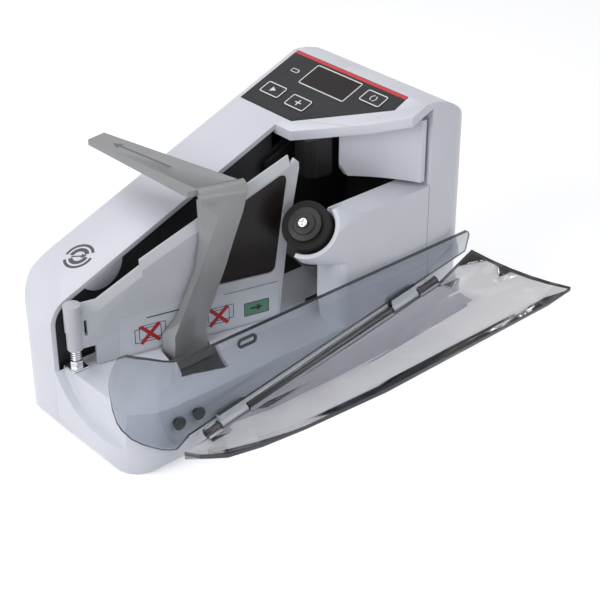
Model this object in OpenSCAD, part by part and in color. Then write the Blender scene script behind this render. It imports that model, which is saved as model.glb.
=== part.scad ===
// Hand-held banknote counter: a sloping spine along the back, a low base in front of it,
// a tower with the display at the far end, a hinged plate and a sliding arm for the notes,
// a slanted feed roller, and a clear guard with a folding tray.
// X runs from the hinge end to the display end, Y from the tray side to the back, Z up.
// The origin is the centre of the flat underside.

/* [Body] */
// Length of the body from the hinge end to the display end
body_l = 189; // [186:1:196]
// Depth of the body from the tray side to the back
body_w = 88; // [86:1:94]
// Height of the tower
body_h = 120; // [118:1:124]
// Thickness of the housing walls
wall = 2.2; // [1.8:0.1:2.6]
// Slope of the top, in degrees
slope = 21.5; // [20:0.5:23]
// Thickness of the spine along the back
spine_w = 35; // [34:0.5:37]
// Radius where the slope meets the hinge end
near_top_r = 12; // [9:1:14]
// Radius at the top of the hinge end, at the back
near_back_r = 34; // [30:1:38]
// Radius along the top edge of the back
rear_r = 5; // [4:0.5:6]
// Radius along the foot of the front
front_low_r = 7; // [4:0.5:8]
// Radius at the top of the display end
far_top_r = 29; // [24:1:30]
// Radius along the lower edge of the hinge end
near_low_r = 4; // [3:0.5:6]
// Radius along the lower edge of the display end
far_low_r = 6; // [4:1:8]
// Corner radius in plan, back of the hinge end
rear_near_r = 22; // [20:1:25]
// Corner radius in plan, front of the hinge end
front_near_r = 20; // [17:1:22]
// Corner radius in plan, back of the display end
rear_far_r = 12; // [8:1:15]
// Corner radius in plan, front of the display end
front_far_r = 14; // [11:1:15]

/* [Base] */
// Height of the base that the notes stand on
base_h = 30; // [29.5:0.1:30.3]
// Set-back of the base at the table, hinge end
base_near_low = 2; // [1.5:0.5:3]
// Set-back of the base at its top, hinge end
base_near_high = 4.5; // [4:0.5:5]
// Radius of the rubber foot pads
foot_r = 5; // [4:0.5:6]
// Thickness of the rubber foot pads
foot_t = 1.3; // [1:0.1:1.5]

/* [Tower] */
// Length of the end column
column_l = 26.5; // [25:0.5:27]
// Thickness of the roof under the control panel
roof_t = 4; // [3.8:0.1:4.4]
// Radius of the concave chute wall
chute_r = 90; // [86:1:94]
// Height of the chute wall's lower edge
chute_low = 83; // [82.5:0.5:85]
// Height of the roller cover
cover_h = 81; // [80:0.5:82]
// Length of the roller cover
cover_l = 52.5; // [51.5:0.5:53]
// Depth of the roller cover
cover_d = 14; // [12:0.5:15]

/* [Control panel] */
// Depth of the recess that holds the panel
panel_recess = 2.2; // [2:0.1:2.4]
// Thickness of the panel overlay
overlay_t = 1.3; // [1.1:0.1:1.3]
// Thickness of the key membrane
membrane_t = 0.6; // [0.5:0.1:0.8]
// Length of a key
key_l = 12.6; // [11:0.2:13.2]
// Width of a key
key_w = 7.4; // [6.5:0.1:7.8]
// How far a key presses in
key_travel = 0.4; // [0.3:0.05:0.4]
// Length of the display window
display_l = 28; // [26:0.5:28.5]
// Width of the display window
display_w = 12.2; // [11:0.2:12.6]

/* [Pressure plate] */
// Angle of the plate from the spine at rest, in degrees
plate_yaw = 14; // [13:0.5:14]
// Thickness of the plate
plate_t = 2.2; // [1.8:0.1:2.4]
// Depth of the rim along the plate's top edge
flange_d = 3; // [2.8:0.1:3.4]
// Radius of the hinge knuckles
knuckle_r = 3.7; // [3.4:0.1:3.8]
// Radius of the hinge pin
pin_r = 1.5; // [1.3:0.1:1.6]

/* [Note arm] */
// How far the arm slides away from the plate
arm_travel = 18; // [15:1:18]
// Thickness of the arm's top leg
leg_t = 2.6; // [2.2:0.2:3]
// Radius of the two guide rods
rod_r = 1.5; // [1.3:0.1:1.7]

/* [Feed roller] */
// Lean of the roller's axis from upright, in degrees
roller_lean = 48; // [46:1:50]
// Radius of the rubber tyre
tyre_r = 10.6; // [10:0.1:10.7]
// Width of the rubber tyre
tyre_w = 8; // [7:0.5:8]
// Radius of the roller shaft
shaft_r = 1.5; // [1.3:0.1:1.7]
// Teeth on the roller's gear
gear_teeth = 32; // [32:4:36]
// Teeth on the motor's pinion
pinion_teeth = 12; // [12:1:13]
// Gear module
gear_module = 0.5; // [0.48:0.01:0.51]
// Radius of the motor
motor_r = 10; // [9:0.5:10]
// Length of the motor
motor_l = 23; // [20:1:23]

/* [Tray] */
// Thickness of the clear sheet
sheet_t = 2; // [1.6:0.1:2.2]
// Height of the guard's top edge
guard_h = 51.5; // [50:0.5:52]
// How far the tray reaches out in front
tray_reach = 43.8; // [42:0.2:45]
// Rise of the tray's hinge rod along its length, in degrees
tray_rise = 9.6; // [9:0.1:10]
// Radius of the tray's hinge rod
tray_rod_r = 1; // [0.8:0.1:1.1]

/* [Power] */
// Radius of a cell
cell_r = 7.2; // [7:0.05:7.25]
// Length of a cell
cell_l = 50.4; // [49.5:0.1:50.5]
// Radius of the power inlet's socket
inlet_r = 3; // [2.5:0.1:3.2]

/* [Fits] */
// Gap between parts that are assembled together
gap = 0.3; // [0.2:0.05:0.35]
// Radial clearance of pins and shafts that turn
run = 0.04; // [0.02:0.01:0.06]

/* [Hidden] */
$fn = 48;
far = 300;
split_y = body_w - spine_w;
column_x = body_l - column_l;
cover_x = column_x - cover_l;

// The slope of the top, as height at a length x, and its upper end
crest_x = body_l - 30.3;
crest_z = body_h - 0.07;
function slope_z(x) = crest_z - (crest_x - x) * tan(slope);

function arc(cx, cy, r, a0, a1, n = 8) =
    [for (i = [0:n]) let (a = a0 + (a1 - a0) * i / n) [cx + r * cos(a), cy + r * sin(a)]];

// Side outline in X and Z, drawn in by w, with its foot lifted
function near_top_z(r) = slope_z(r) - r / cos(slope);
far_top = [body_l - far_top_r, body_h - far_top_r];
crest_gap = (slope_z(far_top[0]) - far_top[1]) * cos(slope);
function crest_angle(w) = 90 + slope - acos((crest_gap - w) / (far_top_r - w));
function side_outline(w, near_r = near_top_r, lift = 0) = concat(
    arc(near_low_r, near_low_r + lift, near_low_r - w, 270, 180),
    arc(near_r, near_top_z(near_r), near_r - w, 180, 90 + slope),
    arc(far_top[0], far_top[1], far_top_r - w, crest_angle(w), 0, 12),
    arc(body_l - far_low_r, far_low_r + lift, far_low_r - w, 0, -90));

// Plan outline in X and Y, drawn in by w
function plan_outline(w) = concat(
    arc(front_near_r, front_near_r, front_near_r - w, 270, 180),
    arc(rear_near_r, body_w - rear_near_r, rear_near_r - w, 180, 90),
    arc(body_l - rear_far_r, body_w - rear_far_r, rear_far_r - w, 90, 0),
    arc(body_l - front_far_r, front_far_r, front_far_r - w, 0, -90));

// Puts the machine's front near corner where the origin is the underside's centre
module seat() translate([-body_l / 2, -body_w / 2, 0]) children();

// Draws an X-Z outline as a slab between two depths
module slab_y(y0, y1) translate([0, y1, 0]) rotate([90, 0, 0]) linear_extrude(y1 - y0) children();

// Solid body drawn in by w, with a rounded edge along its back and roof and along the foot of its front
module body_form(w) {
    r = max(rear_r - w, 0.2);
    f = max(front_low_r - w, 0.2);
    foot = [[near_low_r, w], [body_l - far_low_r, w], [body_l - far_low_r, w + 1], [near_low_r, w + 1]];
    intersection() {
        hull() {
            for (a = [0, 30, 60, 90])
                slab_y(split_y + 8, body_w - w - r * (1 - sin(a)))
                    polygon(side_outline(w + r * (1 - cos(a)), near_back_r));
            slab_y(split_y + 8, body_w + 1) polygon(side_outline(w + r, near_back_r));
            slab_y(split_y, body_w + 1) polygon(foot);
            for (a = [0, 30, 60, 90])
                slab_y(w - 1 + f * (1 - sin(a)), split_y + 3)
                    polygon(side_outline(w, near_top_r, f * (1 - cos(a))));
        }
        translate([0, 0, -1]) linear_extrude(far) polygon(plan_outline(w));
    }
}

module behind(y) translate([-far, y, -far]) cube([3 * far, far, 3 * far]);
module in_front(y) translate([-far, y - far, -far]) cube([3 * far, far, 3 * far]);

// Everything on the slope is drawn flat: first axis down the slope from the crest, second along Y
module on_slope(depth = 0) {
    translate([crest_x, 0, crest_z]) rotate([0, -slope, 0]) translate([0, 0, -depth]) mirror([1, 0, 0])
        children();
}

module rounded_bar(l, w, h, r) {
    linear_extrude(h) polygon(concat(
        arc(l - r, w - r, r, 0, 90, 4), arc(r, w - r, r, 90, 180, 4),
        arc(r, r, r, 180, 270, 4), arc(l - r, r, r, 270, 360, 4)));
}

// A round wire wound into a coil along Z
module coil(r, wire_r, turns, h, sides = 6, steps = 14) {
    n = turns * steps;
    rings = [for (i = [0:n], k = [0:sides - 1])
        let (a = 360 * i / steps, b = 360 * k / sides, q = r + wire_r * cos(b))
        [q * cos(a), q * sin(a), h * i / n + wire_r * sin(b)]];
    skin = [for (i = [0:n - 1], k = [0:sides - 1], t = [0, 1])
        let (p = i * sides + k, q = i * sides + (k + 1) % sides)
        t == 0 ? [p, q, q + sides] : [p, q + sides, p + sides]];
    caps = [[for (k = [0:sides - 1]) sides - 1 - k], [for (k = [0:sides - 1]) n * sides + k]];
    polyhedron(rings, concat(skin, caps));
}

/* ---- housing ---- */

// Half-round lip between the spine and the notes
lip_c = [25.6, 70];
lip_r = 11.3;
door_x = [24, 122];
door_z = [8.2, 42];
switch_at = [body_l - 39, 30];
switch_hole = [12, 6];
inlet_at = [body_l - 17, 22];
rear_feet = [[36, split_y + 19], [body_l - 31, split_y + 19]];
front_feet = [[36, 16], [body_l - 31, 14]];
board_posts = [[6, body_w - 10], [31, body_w - 10], [31, split_y + 8]];
board_depth = 9.4;
board_t = 1.6;
post_r = 2.6;
pilot_r = 0.9;

module foot_seats(places) {
    for (p = places) translate([p[0], p[1], -1]) cylinder(r = foot_r + gap / 2, h = 1 + foot_t);
}

// Slab under the slope from the roof's edge to the end column
module roof_slab() intersection() {
    on_slope(roof_t) translate([-10, -1, 0]) cube([far, body_w + 2, far]);
    translate([lip_x, 0, 0]) cube([column_x + wall - lip_x, body_w, far]);
}

// Pockets in the roof: the panel's recess and the display's hole below it
module panel_recess_cut(grow = 0) {
    on_slope(panel_recess) linear_extrude(far) offset_panel(grow);
    on_slope(roof_t + 1) translate([display_at[0] - gap, display_at[1] - gap, 0])
        cube([display_w + 2 * gap, display_l + 2 * gap, far]);
}

module rear_shell() seat() color("whitesmoke") {
    difference() {
        union() {
            difference() {
                intersection() { body_form(0); behind(split_y); }
                body_form(wall);
            }
            intersection() {
                slab_y(split_y, split_y + wall * 0.7) translate(lip_c) circle(r = lip_r);
                body_form(wall / 2);
            }
            // roof under the panel, thicker than the walls
            intersection() {
                body_form(wall / 2);
                behind(split_y);
                roof_slab();
            }
            for (p = board_posts)
                on_slope(board_depth) translate([p[0], p[1], 0])
                    cylinder(r = post_r, h = board_depth - panel_recess - 0.4);
            // collars of the power inlet and of the door's pivots
            translate([inlet_at[0], body_w - wall - inlet_collar, inlet_at[1]]) rotate([-90, 0, 0])
                cylinder(r = inlet_r + 2.2, h = inlet_collar + wall / 2);
        }
        panel_recess_cut();
        for (p = board_posts)
            on_slope(board_depth + 1) translate([p[0], p[1], 0]) cylinder(r = pilot_r, h = 5);
        // battery door, with its hinge line along the lower edge
        translate([door_x[0], body_w - 2 * wall, door_z[0] - wall / 2 - gap])
            cube([door_x[1] - door_x[0], 3 * wall, door_z[1] - door_z[0] + wall / 2 + gap]);
        translate([door_x[0] - pivot_l - gap, body_w - wall / 2, door_z[0]]) rotate([0, 90, 0])
            cylinder(r = pivot_r + run, h = door_x[1] - door_x[0] + 2 * (pivot_l + gap));
        // power switch and inlet
        translate([switch_at[0] - switch_hole[0] / 2, body_w - 2 * wall, switch_at[1] - switch_hole[1] / 2])
            cube([switch_hole[0], 3 * wall, switch_hole[1]]);
        translate([inlet_at[0], body_w - far / 2, inlet_at[1]]) rotate([-90, 0, 0])
            cylinder(r = inlet_r + 0.9, h = far);
        foot_seats(rear_feet);
    }
}

// Outline of the base and the end column, drawn in by w
function front_profile(w) = [
    [base_near_low + w, -1], [base_near_high + w, base_h - w], [column_x + w, base_h - w],
    [column_x + w, far], [far, far], [far, -1]];

// Rounded skirt along the foot of the hinge end: depth, then height of its top
skirt_line = [[-1, 11.6], [12, 12.2], [24, 12.4], [31, 13], [36, 14.4], [41, 17], [46, 20.8], [50, 25],
    [split_y, 28.5]];
module near_skirt() translate([-1, 0, 0]) rotate([90, 0, 90]) linear_extrude(20)
    polygon(concat([[-1, -1]], skirt_line, [[split_y, -1]]));

// Roof edge in plan, from the spine round to the front
lip_x = column_x - 42.5;
function roof_edge() = [
    [lip_x, split_y], [lip_x, 43], [lip_x + 7, 32], [lip_x + 19, 14], [lip_x + 25, 6.5], [lip_x + 31, -1],
    [column_x + wall, -1], [column_x + wall, split_y]];

chute_c = [column_x - 84.8, -37.6];
// The chute wall's left side slants down to the right
chute_side = [[column_x - 36.9, 112], [column_x - 22.3, 82], [far, 82], [far, 112]];
plate_bay = [16, 9, body_l - 33, split_y - 13];
boss_places = [for (x = [24, body_l - 23], y = [14, split_y - 10]) [x, y]];
boss_r = 3;
screw_r = 1.2;

module front_shell() seat() color("whitesmoke") {
    difference() {
        union() {
            difference() {
                intersection() {
                    body_form(0);
                    in_front(split_y);
                    union() {
                        slab_y(-1, body_w) polygon(front_profile(0));
                        near_skirt();
                    }
                }
                intersection() {
                    body_form(wall);
                    slab_y(-1, body_w) polygon(front_profile(wall));
                }
            }
            // roof under the panel
            intersection() {
                body_form(0);
                in_front(split_y);
                roof_slab();
                linear_extrude(far) polygon(roof_edge());
            }
            // concave chute wall under the roof
            intersection() {
                translate([0, 0, chute_low]) linear_extrude(far) polygon(concat(
                    arc(chute_c[0], chute_c[1], chute_r, 26.2, 49, 10),
                    arc(chute_c[0], chute_c[1], chute_r + wall, 49, 24.5, 10)));
                body_form(roof_t / 2);
                slab_y(-1, split_y) polygon(chute_side);
            }
            for (p = boss_places) translate([p[0], p[1], wall])
                cylinder(r = boss_r, h = base_h - 1.5 * wall);
            // boss of the plate's hinge pin
            translate([hinge[0], hinge[1], pin_low]) cylinder(r = boss_r, h = base_h - pin_low);
        }
        panel_recess_cut();
        translate([plate_bay[0] - gap, plate_bay[1] - gap, -1])
            rounded_bar(plate_bay[2] + 2 * gap, plate_bay[3] + 2 * gap, 1 + wall, 6);
        for (p = boss_places) translate([p[0], p[1], -1]) cylinder(r = screw_r, h = 14);
        translate([hinge[0], hinge[1], -1]) cylinder(r = pin_r, h = far);
        arm_slot();
        for (p = peg_places) translate([p[0], wall + 1, p[1]]) rotate([90, 0, 0])
            cylinder(r = peg_r, h = 2 * wall);
    }
}

module base_plate() seat() color("gainsboro") difference() {
    translate([plate_bay[0], plate_bay[1], 0]) rounded_bar(plate_bay[2], plate_bay[3], wall, 6 - gap);
    for (p = boss_places) translate([p[0], p[1], -1]) cylinder(r = screw_r + gap, h = far);
    for (p = boss_places) translate([p[0], p[1], -1]) cylinder(r = head_r, h = 1 + head_t);
    foot_seats(front_feet);
}

head_r = 2.4;
head_t = 1.2;
module case_screws() seat() color("silver") for (p = boss_places) translate([p[0], p[1], 0.2]) {
    cylinder(r = head_r - 0.1, h = head_t - 0.2);
    cylinder(r = screw_r, h = 9);
}

module foot_pads() seat() color("dimgray") {
    for (p = concat(rear_feet, front_feet)) translate([p[0], p[1], 0]) cylinder(r = foot_r, h = foot_t);
}

// Dark wall that closes the spine on the notes' side
recess_d = 2.4;
module recess_wall() seat() color("#16171a") {
    difference() {
        intersection() {
            body_form(wall + gap / 2);
            behind(split_y + recess_d);
            in_front(split_y + recess_d + 1.6);
        }
        difference() {
            translate([lip_x, 0, 0]) cube([column_x + wall - lip_x + gap, body_w, far]);
            body_form(board_depth + board_t + 1);
        }
    }
}

// Dark walls round the feed chamber
module feed_liner() seat() color("#101012") {
    x0 = cover_x + 3;
    x1 = column_x - gap / 2;
    back_y = 36;
    intersection() {
        translate([0, 0, base_h]) linear_extrude(far) polygon([
            [x0, split_y - 0.4], [x0, split_y - 2], [x1 - 1.6, split_y - 2], [x1 - 1.6, back_y],
            [x1, back_y], [x1, split_y - 0.4]]);
        body_form(board_depth + board_t + 1);
    }
    translate([x1 - 1.5, cover_d + 1, base_h])
        cube([1.4, back_y - cover_d - 0.6, chute_low - base_h - 0.5]);
}

/* ---- roller cover ---- */

roller_c = [column_x - 60.5, 10.6, 77.5];
roller_swing = 202.8;
shroud_r = 12;
shroud_t = 1.8;

// Local frame of the roller: Z along its axis toward the front, X down the slant
module at_roller() translate(roller_c) rotate([0, roller_lean, roller_swing]) children();

function cover_plan(w) = concat(
    arc(cover_x + 6, 6, 6 - w, 270, 180, 6),
    [[cover_x + w, cover_d + 1], [column_x - gap - w, cover_d + 1], [column_x - gap - w, w]]);

// Front left corner of the cover, which the shroud grows out of
shroud_foot = 60;
module cover_corner() translate([0, 0, shroud_foot]) linear_extrude(cover_h - shroud_foot)
    polygon(concat(arc(cover_x + 6, 6, 6, 270, 180, 6),
        [[cover_x, cover_d - 1], [cover_x + 14, cover_d - 1], [cover_x + 14, 0]]));

module roller_cover() seat() color("whitesmoke") difference() {
    union() {
        intersection() {
            difference() {
                translate([0, 0, base_h]) linear_extrude(cover_h - base_h) polygon(cover_plan(0));
                translate([0, 0, base_h - 1]) linear_extrude(cover_h - base_h + 1 - wall)
                    polygon(cover_plan(wall));
            }
            in_front(cover_d);
        }
        hull() {
            cover_corner();
            at_roller() rotate([0, 0, -8]) rotate_extrude(angle = 146)
                translate([shroud_r, -8]) square([shroud_t, 9]);
        }
    }
    at_roller() translate([0, 0, -8.2]) cylinder(r = shroud_r, h = 60);
    // gap for the shaft behind the roller
    at_roller() translate([0, 0, -25]) cylinder(r = neck_r + gap, h = 19);
    // room for the gear case
    at_roller() translate([0, 0, case_back - 1]) cylinder(r = case_r + gap, h = case_front - case_back + 2);
}

/* ---- feed roller and drive ---- */

hub_r = 6.6;
hub_front_r = 7.4;
neck_r = 5.6;
gear_z = -29;
gear_t = 3.4;
gear_r = gear_module * gear_teeth / 2;
pinion_pitch_r = gear_module * pinion_teeth / 2;
centre_d = gear_r + pinion_pitch_r + 0.1;
case_front = -23;
case_back = -35;
case_t = 1.2;
case_r = gear_r + 1 + case_t;
motor_shaft_r = 1;

module roller_tyre() seat() color("#1c1c1e") at_roller() translate([0, 0, -tyre_w / 2])
    rotate_extrude() translate([hub_r, 0]) difference() {
        square([tyre_r - hub_r, tyre_w]);
        for (i = [1:3]) translate([tyre_r - hub_r, i * tyre_w / 4]) circle(r = 0.35, $fn = 16);
    }

module roller_hub() seat() color("#26262a") at_roller() difference() {
    union() {
        translate([0, 0, -tyre_w / 2]) cylinder(r = hub_r, h = tyre_w);
        translate([0, 0, tyre_w / 2]) cylinder(r = hub_front_r, h = 1.6);
        translate([0, 0, tyre_w / 2 + 1.6]) cylinder(r = 4.8, h = 0.8);
        translate([0, 0, -tyre_w / 2 - 1]) cylinder(r = 3.2, h = 1);
    }
    translate([0, 0, -50]) cylinder(r = shaft_r, h = 100);
}

shaft_top = tyre_w / 2 + 2.2;
module roller_shaft() seat() color("silver") at_roller() difference() {
    translate([0, 0, case_back + 0.2]) cylinder(r = shaft_r, h = shaft_top - case_back - 0.2);
    translate([0, 0, shaft_top - 5]) cylinder(r = 0.9, h = 6);
}

module roller_screw() seat() color("silver") at_roller() translate([0, 0, tyre_w / 2 + 2.4]) {
    difference() {
        cylinder(r = 1.9, h = 1.5);
        translate([-0.25, -1.4, 0.9]) cube([0.5, 2.8, 1]);
        translate([-1.4, -0.25, 0.9]) cube([2.8, 0.5, 1]);
    }
    translate([0, 0, -5]) cylinder(r = 0.9, h = 5);
}

bush_r = 3;
module shaft_bushes() seat() color("peru") at_roller()
    for (z = [[-12, 3.2], [case_back + 0.4, case_t - 0.4]]) translate([0, 0, z[0]]) difference() {
        cylinder(r = bush_r, h = z[1]);
        translate([0, 0, -1]) cylinder(r = shaft_r + run, h = z[1] + 2);
    }

// Straight-sided gear teeth on a round body
module gear(teeth, turn = 0) {
    pitch_r = gear_module * teeth / 2;
    tip_r = pitch_r + 0.8 * gear_module;
    root_r = pitch_r - 1.1 * gear_module;
    step = 360 / teeth;
    linear_extrude(gear_t)
        polygon([for (i = [0:teeth - 1],
            c = [[root_r, -0.26], [tip_r, -0.12], [tip_r, 0.12], [root_r, 0.26]])
        let (a = (i + c[1]) * step + turn) [c[0] * cos(a), c[0] * sin(a)]]);
}

module drive_gear() seat() color("ivory") at_roller() translate([0, 0, gear_z]) difference() {
    union() {
        gear(gear_teeth, -90);
        translate([0, 0, gear_t]) cylinder(r = 3.4, h = 0.7);
    }
    translate([0, 0, -1]) cylinder(r = shaft_r, h = gear_t + 4);
}

// The pinion's gap faces the gear's tooth
pinion_turn = 90 + 180 / pinion_teeth;
module motor_pinion() seat() color("goldenrod") at_roller() translate([0, -centre_d, gear_z - 0.2])
    difference() {
    gear(pinion_teeth, pinion_turn);
    translate([0, 0, -1]) cylinder(r = motor_shaft_r, h = gear_t + 2);
}

module motor_shaft() seat() color("silver") at_roller() translate([0, -centre_d, case_back - 6])
    cylinder(r = motor_shaft_r, h = gear_z - case_back + 6 + gear_t - 0.4);

motor_bolts = [[6.5, 0], [-6.5, 0]];
module motor() seat() color("gray") at_roller() translate([0, -centre_d, case_back]) difference() {
    union() {
        translate([0, 0, -motor_l]) cylinder(r = motor_r, h = motor_l);
        translate([0, 0, -motor_l - 1.6]) cylinder(r = 4, h = 1.6);
    }
    translate([0, 0, -7]) cylinder(r = motor_shaft_r + run, h = 8);
    for (p = motor_bolts) translate([p[0], p[1], -3]) cylinder(r = 0.8, h = 4);
}

module motor_screws() seat() color("silver") at_roller() translate([0, -centre_d, case_back])
    for (p = motor_bolts) translate([p[0], p[1], 0]) {
        translate([0, 0, -3]) cylinder(r = 0.8, h = 3 + case_t);
        translate([0, 0, case_t]) cylinder(r = 1.4, h = 1);
    }

case_foot = [cover_x + wall + 1, 13.6];
// Housing of the gears: it carries the shaft's bushes and the motor, and stands on the base
module gear_case() seat() color("#202226") difference() {
    union() {
        at_roller() {
            translate([0, 0, -12]) cylinder(r = neck_r, h = 3.2);
            translate([0, 0, case_front - 1]) cylinder(r = neck_r, h = -12 - case_front + 2);
            translate([0, 0, case_back]) cylinder(r = case_r, h = case_front - case_back);
            translate([0, -centre_d, case_back]) cylinder(r = motor_r, h = case_front - case_back);
        }
        translate([case_foot[0] + 2, case_foot[1], base_h]) cube([12, 6, 28]);
        translate([case_foot[0], case_foot[1], base_h]) cube([16, 12, 2]);
    }
    at_roller() {
        translate([0, 0, case_back + case_t])
            cylinder(r = case_r - case_t, h = case_front - case_back - 2 * case_t);
        translate([0, -centre_d, case_back + case_t])
            cylinder(r = motor_r - case_t, h = case_front - case_back - 2 * case_t);
        translate([0, 0, -12]) cylinder(r = bush_r, h = 8);
        translate([0, 0, case_front - 3]) cylinder(r = shaft_r + 0.6, h = 14);
        translate([0, 0, case_back - 1]) cylinder(r = bush_r, h = 1 + case_t);
        translate([0, -centre_d, case_back - 1]) cylinder(r = motor_shaft_r + 0.6, h = 4);
        for (p = motor_bolts) translate([p[0], p[1] - centre_d, case_back - 1]) cylinder(r = 0.8, h = 3);
    }
}

// Note sensor under the roof
sensor_low = 84;
sensor_outline = [[3, 36], [6, 32.5], [14, 32], [18.5, 35.5], [17, 44], [3, 44]];
module sensor_block() seat() color("#19191b") intersection() {
    translate([lip_x, 0, sensor_low]) linear_extrude(far) polygon(sensor_outline);
    body_form(roof_t);
}

/* ---- control panel ---- */

// Places on the slope: distance down from the crest, then Y
panel_left = body_w - 5.5;
display_at = [3.8, split_y - 16.6];
key_start_at = [22, split_y + 12.3];
key_add_at = [22.9, split_y - 5.4];
key_clear_at = [4.5, 18.2];

module offset_panel(w) polygon([
    [-w, 11.1 - w], [-w, panel_left + w], [36.7 + w, panel_left + w], [36.7 + w, split_y - 5.2 - w],
        [9.4, 10.6 - w]]);

module key_pad(at, z, h, grow) {
    on_slope(z) translate([at[0] - grow, at[1] - grow, 0])
        rounded_bar(key_w + 2 * grow, key_l + 2 * grow, h, 1.2 + grow);
}

module control_overlay() seat() color("#33353a") difference() {
    on_slope(overlay_t) linear_extrude(overlay_t + 0.1) offset_panel(-gap / 2);
    for (p = [key_start_at, key_add_at, key_clear_at]) key_pad(p, 5, 10, gap / 2);
    on_slope(5) translate([display_at[0] - gap / 4, display_at[1] - gap / 4, 0])
        cube([display_w + gap / 2, display_l + gap / 2, 10]);
}

module display_window() seat() color("#2a0d0c") on_slope(overlay_t)
    translate([display_at[0], display_at[1], 0])
    cube([display_w, display_l, overlay_t + 0.05]);

module display_module() seat() color("#1b1b1b") on_slope(board_depth)
    translate([display_at[0], display_at[1], 0])
    cube([display_w, display_l, board_depth - overlay_t - gap]);

module key_membrane() seat() color("#c9b26a") difference() {
    on_slope(panel_recess) linear_extrude(membrane_t) offset_panel(-gap);
    on_slope(5) translate([display_at[0] - gap, display_at[1] - gap, 0])
        cube([display_w + 2 * gap, display_l + 2 * gap, 10]);
}

key_low = 0.75;
dome_t = panel_recess - membrane_t - key_low - key_travel - 0.1;
module key_domes() seat() color("silver")
    for (p = [key_start_at, key_add_at, key_clear_at])
        on_slope(panel_recess - membrane_t) translate([p[0] + key_w / 2, p[1] + key_l / 2, 0])
            cylinder(r = 2.6, h = dome_t);

module key_start() seat() color("#3b3d42") key_pad(key_start_at, key_low, key_low + 0.3, 0);
module key_add() seat() color("#3b3d42") key_pad(key_add_at, key_low, key_low + 0.3, 0);
module key_clear() seat() color("#3b3d42") key_pad(key_clear_at, key_low, key_low + 0.3, 0);

module main_board() seat() color("darkgreen") on_slope(board_depth + board_t) difference() {
    translate([2, split_y + 3, 0]) cube([33, spine_w - 7.5, board_t]);
    for (p = board_posts) translate([p[0], p[1], -1]) cylinder(r = 1.3, h = 5);
}
module display_board() seat() color("darkgreen") on_slope(board_depth + board_t)
    translate([2, display_at[1] - 1, 0]) cube([15.5, split_y + 3 - display_at[1] + 0.9, board_t]);

// Chips and a plug on the board's lower face: corner on the slope, then size
chip_y = split_y + 13;
chips = [[[16, chip_y], [9, 9, 1.6]], [[8, chip_y - 6], [5, 4, 1.4]], [[6, chip_y], [5, 8.5, 4]]];
capacitor_at = [26, chip_y];
capacitor = [2.5, 5];
module board_parts() seat() color("#222222") on_slope(board_depth + board_t) {
    for (c = chips) translate([c[0][0], c[0][1], -c[1][2]]) cube(c[1]);
    translate([capacitor_at[0], capacitor_at[1], -capacitor[1]])
        cylinder(r = capacitor[0], h = capacitor[1]);
}

module board_screws() seat() color("silver") on_slope(board_depth + board_t) for (p = board_posts)
    translate([p[0], p[1], 0]) {
    translate([0, 0, -1.2]) cylinder(r = 2.1, h = 1.2);
    cylinder(r = pilot_r, h = board_t + 4);
}

/* ---- pressure plate and its hinge ---- */

hinge = [7.8, split_y - 4.8];
pin_low = 16;
plate_low = base_h + 0.4;
knuckle_low = 39.4;
knuckle_top = 60.2;
knuckle_mid = 47.8;
knuckle_low_r = 3.3;
plate_front = -2;

// Frame of the plate: X along it from the hinge, Y through it, toward the spine
module at_plate() translate([hinge[0], hinge[1], 0]) rotate([0, 0, -plate_yaw]) children();

// Back line of the rim along the plate's top edge, in three runs from the hinge; its front line lies lower
rim_runs = [[[3.5, 59.8], [10.5, 59.8]], [[10.5, 59.8], [30.1, 70.4]], [[30.1, 73], [97.9, 105.4]]];
rim_drop = 4;
plate_outline = [
    [0, 59.8 - rim_drop], [0, knuckle_low + 0.3], [8.5, knuckle_low + 0.3],
    [8.5, plate_low], [92.3, plate_low],
    [96.2, 65], [98.9, 82], [102, 99.5], [101.9, 102.4], [100.2, 104], [97.9, 105.4 - rim_drop],
    [30.1, 73 - rim_drop], [30.1, 70.4 - rim_drop], [10.5, 59.8 - rim_drop]];
window_outline = concat(
    arc(60.5, 56.4, 3, 195, 270, 4), arc(88, 55.8, 3, 270, 355, 5), [[93, 70], [96.3, 94]],
    arc(93.7, 95.4, 2.6, 10, 110, 5), [[67, 85.4]]);
window_t = 0.8;
label_t = 0.2;
label_outline = [[18.2, 31.8], [91.4, 31.8], [92.6, 49.2], [19.4, 49.3]];

module rim(run) hull() {
    slab_y(plate_front + flange_d - 1, plate_front + flange_d)
        polygon([run[0], run[1], run[1] - [0, 2], run[0] - [0, 2]]);
    slab_y(plate_front, plate_front + 0.1)
        polygon([for (p = run) p - [0, rim_drop], for (p = [run[1], run[0]]) p - [0, rim_drop + 2]]);
}

module pressure_plate() seat() color("gainsboro") at_plate() difference() {
    union() {
        slab_y(plate_front, plate_front + plate_t) polygon(plate_outline);
        for (run = rim_runs) rim(run);
        translate([0, 0, knuckle_mid]) cylinder(r = knuckle_r, h = knuckle_top - knuckle_mid);
        translate([0, 0, knuckle_low]) cylinder(r = knuckle_low_r, h = knuckle_mid - knuckle_low);
    }
    slab_y(-10, 10) polygon(window_outline);
    // slot between the barrel and the plate
    slab_y(-10, 10) polygon([[3.9, 45.4], [5.2, 45.4], [5.2, 52.6], [3.9, 52.6]]);
    cylinder(r = pin_r + run, h = knuckle_top - 2);
}

module plate_window() seat() color("#0c0b0b") at_plate()
    slab_y(plate_front + 0.9, plate_front + 0.9 + window_t) polygon(window_outline);

module plate_label() seat() color("lightgray") at_plate() slab_y(plate_front - label_t, plate_front)
    polygon(label_outline);

module hinge_pin() seat() color("silver") translate([hinge[0], hinge[1], pin_low])
    cylinder(r = pin_r, h = knuckle_top - 3 - pin_low);

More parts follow.
